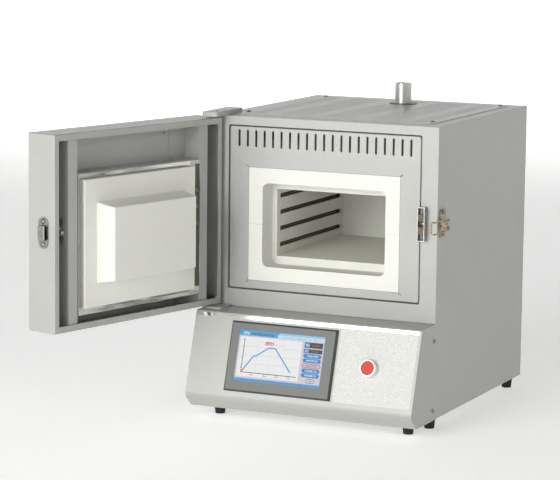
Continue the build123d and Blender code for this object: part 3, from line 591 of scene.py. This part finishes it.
def mirror_steel(name, color, waviness):
    """Bright sheet whose faint waves bend what it reflects."""
    finish = Finish(name, color, 0.1, 1.0)
    waves = finish.noise(9.0, 1.0, 0.4, distortion=0.3)
    haze = finish.noise(420.0, 2.0)
    finish.feed("Roughness", 0.05 + haze * 0.09)
    finish.feed("Base Color", finish.mix(finish.noise(60.0), shade(color, 0.9), color))
    finish.bump(waves, waviness, 0.7)
    return finish


def plated_metal(name, color, rough=0.2):
    """Plated hardware with rubbed edges and a few tarnished spots."""
    finish = Finish(name, color, rough, 1.0)
    rub = finish.noise(260.0, 4.0, 0.65)
    spots = finish.ramp(finish.noise(900.0, 2.0), 0.62, 0.75)
    tone = finish.mix(finish.ramp(rub, 0.35, 0.65), shade(color, 0.78), shade(color, 1.12))
    finish.feed("Base Color", finish.mix(spots * 0.5, tone, shade(color, 0.45)))
    finish.feed("Roughness", rough - 0.06 + rub * 0.2)
    finish.bump(rub, 0.00004, 0.5)
    return finish


def fibre_board(name, color, stain, pit, joint=None):
    """Vacuum-formed ceramic fibre: felted, pitted and fire-stained, with an optional joint line."""
    finish = Finish(name, color, 0.95, 0.0, specular_ior_level=0.15)
    felt = finish.noise(950.0, 5.0, 0.7, distortion=1.2)
    strands = finish.noise(1.0, 4.0, 0.6, finish.stretched((300.0, 900.0, 260.0)))
    pits = finish.ramp(finish.cells(330.0), 0.0, 0.22)
    patch = finish.ramp(finish.noise(9.0, 4.0, 0.6), 0.56, 0.8)
    fleck = finish.ramp(finish.noise(140.0, 2.0), 0.7, 0.78)
    base = finish.mix(felt, shade(color, 0.93), shade(color, 1.06))
    dirt = finish.mix(patch * 0.28, base, stain)
    tone = finish.mix(fleck * 0.35, dirt, shade(stain, 0.8))
    if joint is not None:
        height = finish.along((0, 0, 1))
        line = height.within(joint - 0.0004, joint + 0.0005) * 0.3
        tone = finish.mix(line, tone, shade(stain, 0.5))
    finish.feed("Base Color", tone)
    relief = felt * 0.5 + strands * 0.25 + pits * 0.5
    finish.bump(relief, pit, 0.6)
    return finish


def moulded_plastic(name, color, rough, grain=0.0006, gloss=0.5):
    """Moulded plastic with a fine spark-eroded texture."""
    finish = Finish(name, color, rough, 0.0, specular_ior_level=gloss)
    grit = finish.noise(1 / grain, 3.0, 0.6)
    cloud = finish.noise(35.0)
    finish.feed("Base Color", finish.mix(cloud, shade(color, 0.93), shade(color, 1.07)))
    finish.feed("Roughness", rough - 0.05 + grit * 0.1)
    finish.bump(grit, 0.00005, 0.5)
    return finish


# ---------------------------------------------------------------- operators
class KILN_OT_paint_cabinet(bpy.types.Operator):
    """Paint the cabinet, the base, the console and the door"""

    bl_idname = "kiln.paint_cabinet"
    bl_label = "Paint Cabinet"

    def execute(self, context):
        paint = context.scene.kiln_paint
        sheet = textured_paint("Grey powder coat", paint.color, paint.grain)
        dress(
            sheet, "base_shell", "base_back_panel", "console_shell", "body_shell", "front_frame",
            "front_panel", "back_panel", "top_cover", "hinge_top_plate", "hinge_bottom_plate",
        )
        dress(textured_paint("Door powder coat", paint.color, paint.grain),
              "door_skin", "door_inner_frame")
        return {"FINISHED"}


class KILN_OT_lay_film(bpy.types.Operator):
    """Lay the speckled film and the bright strip on the console"""

    bl_idname = "kiln.lay_film"
    bl_label = "Lay Console Film"

    def execute(self, context):
        color = context.scene.kiln_paint.film
        film = Finish("Speckled film", color, 0.5, 0.0, coat_weight=0.2, coat_roughness=0.35)
        grains = film.noise(620.0, 3.0, 0.65)
        dots = film.ramp(grains, 0.40, 0.60)
        tone = film.mix(dots, shade(color, 0.80), shade(color, 1.14))
        sparkle = film.ramp(film.noise(1500.0), 0.62, 0.7)
        film.feed("Base Color", film.mix(sparkle, tone, (0.9,) * 3))
        film.feed("Roughness", 0.4 + dots * 0.2)
        film.bump(grains, 0.00012, 0.6)
        dress(film, "console_overlay")
        dress(mirror_steel("Bright trim", (0.86, 0.86, 0.84), 0.0003), "console_trim")
        return {"FINISHED"}


class KILN_OT_form_fibre(bpy.types.Operator):
    """Finish the fibre boards, the blanket and the fired ceramic parts"""

    bl_idname = "kiln.form_fibre"
    bl_label = "Form Fibre"

    def execute(self, context):
        fibre = context.scene.kiln_fibre
        board = fibre_board("Fibre board", fibre.color, fibre.stain, fibre.pit)
        dress(
            board, "chamber_left_wall", "chamber_right_wall", "chamber_roof", "chamber_floor",
            "chamber_back_wall", "door_plug",
        )
        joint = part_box("mouth_upper")[0].z
        ring = fibre_board("Fibre ring", fibre.color, fibre.stain, fibre.pit, joint)
        dress(ring, "mouth_lower", "mouth_upper")
        blanket = fibre_board("Fibre blanket", shade(fibre.color, 0.97), fibre.stain, 0.0012)
        dress(blanket, "insulation_jacket", "door_backing")
        fired = Finish("Fired ceramic", (0.80, 0.76, 0.66), 0.6)
        body = fired.noise(300.0, 3.0)
        fired.feed("Base Color", fired.mix(body, (0.72, 0.68, 0.58), (0.86, 0.83, 0.75)))
        fired.bump(body, 0.0001, 0.5)
        dress(fired, "flue_duct", "thermocouple_sheath", "element_terminals", "thermocouple_head")
        return {"FINISHED"}


class KILN_OT_wind_coils(bpy.types.Operator):
    """Wind the heating coils into the grooves of the chamber's walls"""

    bl_idname = "kiln.wind_coils"
    bl_label = "Wind Heating Coils"

    def execute(self, context):
        coils = context.scene.kiln_coils
        scale = Finish("Oxidised heating wire", coils.color, 0.62, 0.35)
        crust = scale.noise(1800.0, 3.0, 0.7)
        scale.feed("Base Color", scale.mix(crust, shade(coils.color, 0.6), shade(coils.color, 2.2)))
        scale.bump(crust, 0.00008, 0.7)
        dress(scale, "element_leads")
        low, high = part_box("heating_coils")
        outer = COIL_RADIUS
        rows = 4
        gap = (high.z - low.z - 2 * outer) / (rows - 1)
        length = high.y - low.y
        turns = round(length / coils.pitch)
        radius = outer - coils.wire / 2
        for column, x in enumerate((low.x + outer, high.x - outer)):
            for row in range(rows):
                start = Vector((x, low.y, low.z + outer + row * gap))
                points = helix_points(
                    start, Vector((0, 1, 0)), Vector((0, 0, 1)), length, radius, turns, 16, 2.0
                )
                vertices, faces = wire(points, coils.wire / 2, 6)
                name = f"heating_coil_{column}_{row}"
                piece = new_piece(name, vertices, faces, scale, "cabinet")
                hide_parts("heating_coils")
        return {"FINISHED"}


class KILN_OT_fit_springs(bpy.types.Operator):
    """Wind the button's spring and the two springs of the door's catch"""

    bl_idname = "kiln.fit_springs"
    bl_label = "Fit Springs"

    def execute(self, context):
        steel = plated_metal("Spring steel", (0.42, 0.42, 0.43), 0.28)
        press = next(j for j in frame["joints"] if j["name"] == "button_press")
        inward = Vector(press["axis"]).normalized()
        reach = [inward.dot(vertex.co) for vertex in frame["nodes"]["button_spring"].data.vertices]
        length = max(reach) - min(reach)
        low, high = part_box("button_spring")
        start = (low + high) / 2 + inward * (length / 2)
        name = "button_coil_spring"
        self.spring(steel, name, "button_spring", start, -inward, length, *BUTTON_SPRING)
        self.squash(name, "button_press", inward, start, BUTTON_TRAVEL, length)
        low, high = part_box("catch_springs")
        middle = (low + high) / 2
        length = JAW_SPRING_LENGTH
        for name, joint, end in (
            ("catch_upper_spring", "catch_upper_slide", high.z),
            ("catch_lower_spring", "catch_lower_slide", low.z),
        ):
            away = 1 if end > middle.z else -1
            start = Vector((middle.x, middle.y, end))
            axis = Vector((0, 0, -away))
            self.spring(steel, name, "catch_springs", start, axis, length, *JAW_SPRING)
            self.squash(name, joint, axis, start, JAW_TRAVEL, length)
        return {"FINISHED"}

    @staticmethod
    def spring(finish, name, node, start, axis, length, radius, wire_radius):
        """Wind one compression spring between its two seats."""
        across = axis.orthogonal().normalized()
        inset = axis * (wire_radius * 1.2)
        points = helix_points(
            start + inset, axis, across, length - 2.4 * wire_radius, radius, 6.0, 20, 1.0
        )
        vertices, faces = wire(points, wire_radius, 8)
        piece = new_piece(name, vertices, faces, finish, "cabinet")
        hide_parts(node)

    @staticmethod
    def squash(name, joint, axis, anchor, travel, length):
        """Give a spring a mesh of its own."""
        keep = (length - travel) / length
        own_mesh(bpy.data.objects[name])


class KILN_OT_draw_screen(bpy.types.Operator):
    """Finish the touch panel and draw its heating chart"""

    bl_idname = "kiln.draw_screen"
    bl_label = "Draw Screen"

    def execute(self, context):
        look = context.scene.kiln_screen
        glass = Finish("Display glass", (0.01, 0.01, 0.01), 0.16, 0.0, specular_ior_level=0.2)
        climb = Vector(SLOPE_UP).normalized()
        corners = [vertex.co for vertex in frame["nodes"]["touch_screen"].data.vertices]
        left = min(corner.x for corner in corners)
        low = min(corner.dot(climb) for corner in corners)
        across = (glass.along((1, 0, 0)) - left) / MM
        up = (glass.along(tuple(climb)) - low) / MM
        sheet = Sketch(glass, across, up)
        self.draw_bars(sheet, look)
        self.draw_chart(sheet, look)
        self.draw_column(sheet, look)
        glass.feed("Emission Color", sheet.color)
        glass.feed("Emission Strength", look.glow)
        haze = glass.noise(500.0, 2.0)
        glass.feed("Roughness", 0.1 + haze * 0.08)
        glass.bump(glass.noise(40.0), 0.00002, 0.2)
        dress(glass, "touch_screen")
        self.bezel()
        return {"FINISHED"}

    @staticmethod
    def draw_bars(sheet, look):
        """The title bar, the status bar and the ground between them."""
        sheet.fill(look.ground)
        sheet.fill(look.title, sheet.area(-9, 170, 78.0, 99))
        sheet.fill((0.58, 0.83, 0.95), sheet.area(72, 170, 77.5, 83.5))
        sheet.fill((0.30, 0.62, 0.90), sheet.area(75, 170, 83.5, 99))
        sheet.fill((0.01, 0.10, 0.26), sheet.marks(21, 66, 79.5, 84.0, 0.62, 0.55))
        sheet.fill((0.85, 0.95, 1.0), sheet.marks(8, 19, 80.0, 84.5, 0.62, 0.6))
        sheet.fill((0.16, 0.36, 0.62), sheet.marks(80, 152, 79.0, 81.0, 0.7, 0.35))
        sheet.fill(look.title, sheet.area(-9, 170, -9, 4.6))
        sheet.fill((0.01, 0.12, 0.30), sheet.marks(6, 150, 1.4, 3.2, 0.7, 0.32))

    @staticmethod
    def draw_chart(sheet, look):
        """The white chart with its grid, its axes and its heating curve."""
        ink = (0.012, 0.016, 0.025)
        red = (0.78, 0.012, 0.012)
        pale = (0.72, 0.79, 0.84)
        sheet.fill((0.93, 0.94, 0.95), sheet.area(3, 119, 7.6, 76.0))
        for y in (30, 45, 60):
            sheet.fill(pale, sheet.area(12, 115, y, y + 0.7))
        for x in (37, 62, 88):
            sheet.fill(pale, sheet.area(x, x + 0.7, 15, 72))
        sheet.fill(ink, sheet.area(10.8, 12.0, 14.2, 72.5))
        sheet.fill(ink, sheet.area(10.8, 115.0, 14.2, 15.4))
        for y in (22, 40, 58, 71):
            sheet.fill(ink, sheet.area(9.2, 11.0, y, y + 0.8))
        for x in (30, 55, 78, 100):
            sheet.fill(ink, sheet.area(x, x + 0.8, 12.9, 14.4))
            sheet.fill((0.25, 0.27, 0.30), sheet.marks(x - 3, x + 5, 10.2, 12.0, 0.6, 0.5))
        sheet.fill(red, sheet.marks(50, 67, 64.0, 70.0, 0.62, 0.62))
        sheet.fill(red, sheet.dots(69, 85, 65.0, 66.2, 3.2))
        climb = ((15.8, 20.7), (31.4, 43.4), (35.7, 44.1), (58.2, 59.6))
        curve = (*climb, (70.4, 59.7), (102.7, 21.8))
        for start, end in zip(curve, curve[1:]):
            sheet.fill(look.curve, sheet.stroke(start, end, 2.3))
        sheet.fill(red, sheet.stroke((11.7, 15.2), curve[0], 2.0))

    @staticmethod
    def draw_column(sheet, look):
        """The two readouts and the buttons at the right."""
        ink = (0.012, 0.012, 0.016)
        white = (0.90, 0.94, 0.97)
        lamps = ((71.3, 9.4, (0.70, 0.02, 0.015)), (61.2, 7.0, (0.02, 0.36, 0.05)))
        for middle, height, glow in lamps:
            low, high = middle - height / 2, middle + height / 2
            sheet.fill(ink, sheet.area(123.5, 157.5, low, high))
            sheet.fill(look.bar, sheet.area(124.2, 133.0, low + 0.6, high - 0.6))
            sheet.fill(white, sheet.marks(125.2, 132.2, middle - 2.2, middle + 2.2, 0.7, 0.45))
            sheet.fill(glow, sheet.marks(137, 150, middle - 1.6, middle + 1.6, 0.7, 0.42))
        for number, middle in enumerate((52.9, 45.0, 36.2, 27.7, 19.8)):
            chosen = number == 2
            edge = (0.62, 0.02, 0.03) if chosen else look.title
            inside = (0.62, 0.55, 0.60) if chosen else look.bar
            sheet.fill(edge, sheet.stroke((127.2, middle), (153.5, middle), 7.6))
            sheet.fill(inside, sheet.stroke((127.2, middle), (153.5, middle), 5.6))
            text = (0.30, 0.28, 0.32) if chosen else white
            sheet.fill(text, sheet.marks(130, 151, middle - 1.5, middle + 1.5, 0.7, 0.5))
        sheet.fill((0.10, 0.10, 0.12), sheet.stroke((137.5, 10.6), (145.5, 10.6), 7.4))
        sheet.fill((0.75, 0.76, 0.80), sheet.stroke((137.5, 10.6), (145.5, 10.6), 5.2))
        sheet.fill((0.10, 0.10, 0.12), sheet.marks(138, 146, 9.6, 11.6, 0.6, 0.5))

    @staticmethod
    def bezel():
        """Paint shade onto the panel's bevelled edge, so that it stands darker than its flat face.
        """
        # Painted shade: the bevel gets a much darker colour than the flat face, as though it caught
        # less light.
        rim_painted_shade = (0.055, 0.062, 0.056)
        face = (0.150, 0.157, 0.150)
        plastic = Finish("Panel bezel", face, 0.45, 0.0, specular_ior_level=0.4)
        out = Vector(SLOPE_OUT).normalized()
        front = max(out.dot(corner.co) for corner in frame["nodes"]["touch_bezel"].data.vertices)
        grit = plastic.noise(1900.0, 3.0, 0.6)
        flat = plastic.ramp(plastic.along(tuple(out)), front - 0.0006, front - 0.0001)
        tone = plastic.mix(flat, rim_painted_shade, plastic.mix(grit, shade(face, 0.92), shade(face, 1.08)))
        plastic.feed("Base Color", tone)
        plastic.feed("Roughness", 0.38 + grit * 0.14)
        plastic.bump(grit, 0.00005, 0.5)
        dress(plastic, "touch_bezel")


class KILN_OT_finish_button(bpy.types.Operator):
    """Finish the push button's cap and its ring"""

    bl_idname = "kiln.finish_button"
    bl_label = "Finish Button"

    def execute(self, context):
        look = context.scene.kiln_button
        cap = Finish("Red button plastic", look.cap, 0.4, 0.0, specular_ior_level=0.2)
        scuff = cap.noise(500.0, 3.0, 0.6)
        cloud = cap.noise(80.0)
        cap.feed("Base Color", cap.mix(cloud, shade(look.cap, 0.92), shade(look.cap, 1.08)))
        cap.feed("Roughness", 0.34 + scuff * 0.16)
        cap.bump(scuff, 0.00003, 0.4)
        dress(cap, "button_cap")
        ring = Finish("Button ring", look.collar, 0.25, 0.15, coat_weight=0.3)
        haze = ring.noise(700.0, 3.0)
        ring.feed("Base Color", ring.mix(haze, shade(look.collar, 0.94), shade(look.collar, 1.06)))
        ring.feed("Roughness", 0.2 + haze * 0.12)
        ring.bump(haze, 0.00003, 0.4)
        dress(ring, "button_ring")
        return {"FINISHED"}


class KILN_OT_finish_steel(bpy.types.Operator):
    """Finish the stainless tray and the chimney"""

    bl_idname = "kiln.finish_steel"
    bl_label = "Finish Stainless Parts"

    def execute(self, context):
        dress(mirror_steel("Bright tray sheet", (0.66, 0.655, 0.63), 0.0011), "door_tray")
        chimney = brushed_steel("Brushed chimney", (0.60, 0.59, 0.56), (40.0, 40.0, 2600.0))
        dress(chimney, "chimney_tube")
        # Painted shade: the flange is coloured near black to stand in for the shadow ring round the
        # chimney's foot.
        flange_painted_shade = (0.17, 0.165, 0.15)
        collar = brushed_steel("Flange with painted shade", flange_painted_shade, (500.0, 500.0, 60.0), 0.42)
        dress(collar, "chimney_flange")
        return {"FINISHED"}


class KILN_OT_finish_hardware(bpy.types.Operator):
    """Finish the latch, the catch, the hinges' pins and the screws"""

    bl_idname = "kiln.finish_hardware"
    bl_label = "Finish Hardware"

    def execute(self, context):
        tarnished = plated_metal("Tarnished nickel", (0.40, 0.305, 0.205), 0.24)
        dress(tarnished, "latch_base", "latch_pin", "latch_lever", "latch_bail")
        dress(plated_metal("Grey nickel", (0.36, 0.35, 0.32), 0.26), "door_keeper")
        dress(plated_metal("Screw plating", (0.34, 0.33, 0.31), 0.3), "panel_screws", "door_screws")
        zinc = plated_metal("Zinc plate", (0.44, 0.44, 0.42), 0.36)
        dress(zinc, "catch_housing", "door_strike", "hinge_pins", "door_pivot_blocks")
        jaw = moulded_plastic("Catch plastic", (0.13, 0.092, 0.046), 0.5)
        dress(jaw, "catch_upper_jaw", "catch_lower_jaw")
        return {"FINISHED"}


class KILN_OT_finish_small_parts(bpy.types.Operator):
    """Finish the feet, the gland and the modules inside the base"""

    bl_idname = "kiln.finish_small_parts"
    bl_label = "Finish Feet and Modules"

    def execute(self, context):
        rubber = Finish("Foot rubber", (0.018, 0.018, 0.02), 0.8, 0.0, specular_ior_level=0.3)
        bloom = rubber.noise(120.0, 4.0, 0.7)
        rubber.feed("Base Color", rubber.mix(bloom, (0.012, 0.012, 0.013), (0.035, 0.035, 0.037)))
        rubber.feed("Roughness", 0.7 + bloom * 0.2)
        rubber.bump(rubber.noise(1400.0, 2.0), 0.00008, 0.6)
        dress(rubber, "feet")
        black = moulded_plastic("Black plastic", (0.02, 0.02, 0.022), 0.5)
        dress(
            black, "touch_housing", "button_contact_block", "terminal_block",
            "solid_state_relay", "cable_gland",
        )
        bare = brushed_steel("Bare aluminium", (0.62, 0.63, 0.64), (2000.0, 60.0, 60.0), 0.38)
        dress(bare, "relay_heat_sink", "power_supply")
        return {"FINISHED"}


class KILN_OT_set_stage(bpy.types.Operator):
    """Lay the floor, hang the lights and point the camera"""

    bl_idname = "kiln.set_stage"
    bl_label = "Set Stage"

    def execute(self, context):
        stage = context.scene.kiln_stage
        self.sweep(stage)
        self.light("Key light", stage.key, 2.4, (-1.0, -4.1, 1.2), (0.0, 0.0, 0.25))
        self.light("Front light", stage.front, 1.3, (-0.6, -4.4, 1.5), (0.0, 0.0, 0.3))
        self.light("Fill light", stage.fill, 2.0, (3.2, -1.2, 1.5), (0.1, 0.0, 0.25))
        self.light("Top light", stage.top, 2.4, (0.2, 0.4, 3.0), (0.0, 0.0, 0.3))
        self.light("Backdrop light", stage.wall, 3.0, (-2.3, 4.6, 3.2), (-3.6, 7.4, 0.6))
        world = bpy.data.worlds.new("Studio")
        world.use_nodes = True
        sky = world.node_tree.nodes["Background"].inputs
        sky["Color"].default_value = (0.97, 0.98, 1.0, 1.0)
        sky["Strength"].default_value = stage.sky
        context.scene.world = world
        context.scene.view_settings.view_transform = "Standard"
        self.camera(context)
        return {"FINISHED"}

    @staticmethod
    def sweep(stage):
        """A round floor that curves up into a wall on every side."""
        profile = [(0.5, 0.0), (2.0, 0.0), (4.5, 0.0), (FLOOR_RADIUS, 0.0)]
        for degrees in range(10, 91, 8):
            angle = radians(degrees)
            profile.append((FLOOR_RADIUS + sin(angle) * COVE, COVE - cos(angle) * COVE))
        profile.append((FLOOR_RADIUS + COVE, 5.0))
        vertices = [(0.0, 0.0, 0.0)]
        for radius, height in profile:
            for step in range(FLOOR_SIDES):
                angle = 2 * pi * step / FLOOR_SIDES
                vertices.append((radius * cos(angle), radius * sin(angle), height))
        faces = [(0, 1 + step, 1 + (step + 1) % FLOOR_SIDES) for step in range(FLOOR_SIDES)]
        for ring in range(len(profile) - 1):
            for step in range(FLOOR_SIDES):
                near = 1 + ring * FLOOR_SIDES + step
                beside = 1 + ring * FLOOR_SIDES + (step + 1) % FLOOR_SIDES
                faces.append((near, near + FLOOR_SIDES, beside + FLOOR_SIDES, beside))
        mesh = bpy.data.meshes.new("Studio floor")
        mesh.from_pydata(vertices, [], faces)
        for polygon in mesh.polygons:
            polygon.use_smooth = True
        paper = Finish("Studio paper", stage.floor, 0.9, 0.0, specular_ior_level=0.1)
        paper.feed("Emission Color", opaque(stage.floor))
        paper.feed("Emission Strength", stage.lift)
        fleck = paper.noise(300.0, 2.0)
        dull = shade(stage.floor, 0.985)
        paper.feed("Base Color", paper.mix(fleck, dull, shade(stage.floor, 1.0)))
        mesh.materials.append(paper.material)
        floor = bpy.data.objects.new("studio_floor", mesh)
        bpy.context.scene.collection.objects.link(floor)

    @staticmethod
    def light(name, power, size, place, target):
        """Hang one square softbox that faces a point."""
        lamp = bpy.data.lights.new(name, "AREA")
        lamp.energy = power
        lamp.size = size
        holder = bpy.data.objects.new(name, lamp)
        holder.location = place
        holder.visible_camera = False
        holder.rotation_euler = (Vector(target) - Vector(place)).to_track_quat("-Z", "Y").to_euler()
        bpy.context.scene.collection.objects.link(holder)

    @staticmethod
    def camera(context):
        """Stand the camera in front of the kiln, to its right and a little above it."""
        yaw, pitch, roll = CAMERA_YAW, CAMERA_PITCH, CAMERA_ROLL
        ahead = Vector((sin(yaw) * cos(pitch), cos(yaw) * cos(pitch), -sin(pitch)))
        right = Vector((cos(yaw), -sin(yaw), 0.0))
        up = right.cross(ahead)
        tilted = right * cos(roll) + up * sin(roll)
        upright = up * cos(roll) - right * sin(roll)
        lens = bpy.data.cameras.new("Camera")
        lens.lens = CAMERA_LENS
        lens.sensor_width = CAMERA_SENSOR
        camera = bpy.data.objects.new("Camera", lens)
        turn = Matrix((tilted, upright, -ahead)).transposed().to_4x4()
        camera.matrix_world = Matrix.Translation(CAMERA_PLACE) @ turn
        context.scene.collection.objects.link(camera)
        context.scene.camera = camera


class KILN_PT_sidebar(bpy.types.Panel):
    """The kiln's settings and its steps, in the order they are run"""

    bl_idname = "KILN_PT_sidebar"
    bl_label = "Muffle Kiln"
    bl_space_type = "VIEW_3D"
    bl_region_type = "UI"
    bl_category = "Kiln"

    def draw(self, context):
        for name, settings in SETTINGS.items():
            group = getattr(context.scene, name)
            box = self.layout.box()
            box.label(text=settings.__doc__)
            for key in settings.__annotations__:
                box.prop(group, key)
        for step in STEPS:
            self.layout.operator(step.bl_idname)


SETTINGS = {
    "kiln_paint": KilnPaint,
    "kiln_fibre": KilnFibre,
    "kiln_coils": KilnCoils,
    "kiln_screen": KilnScreen,
    "kiln_button": KilnButton,
    "kiln_stage": KilnStage,
}
STEPS = (
    KILN_OT_set_stage,
    KILN_OT_paint_cabinet,
    KILN_OT_lay_film,
    KILN_OT_form_fibre,
    KILN_OT_wind_coils,
    KILN_OT_fit_springs,
    KILN_OT_draw_screen,
    KILN_OT_finish_button,
    KILN_OT_finish_steel,
    KILN_OT_finish_hardware,
    KILN_OT_finish_small_parts,
)


def register():
    """Register the settings, the steps and the panel."""
    for entry in (*SETTINGS.values(), *STEPS, KILN_PT_sidebar):
        bpy.utils.register_class(entry)
    for name, settings in SETTINGS.items():
        setattr(bpy.types.Scene, name, PointerProperty(type=settings))


def unregister():
    """Take everything out again, in the opposite order."""
    for name in SETTINGS:
        delattr(bpy.types.Scene, name)
    for entry in reversed((*SETTINGS.values(), *STEPS, KILN_PT_sidebar)):
        bpy.utils.unregister_class(entry)


def main():
    """Run every step."""
    register()
    for step in STEPS:
        group, name = step.bl_idname.split(".")
        getattr(getattr(bpy.ops, group), name)()


if __name__ == "__main__":
    main()
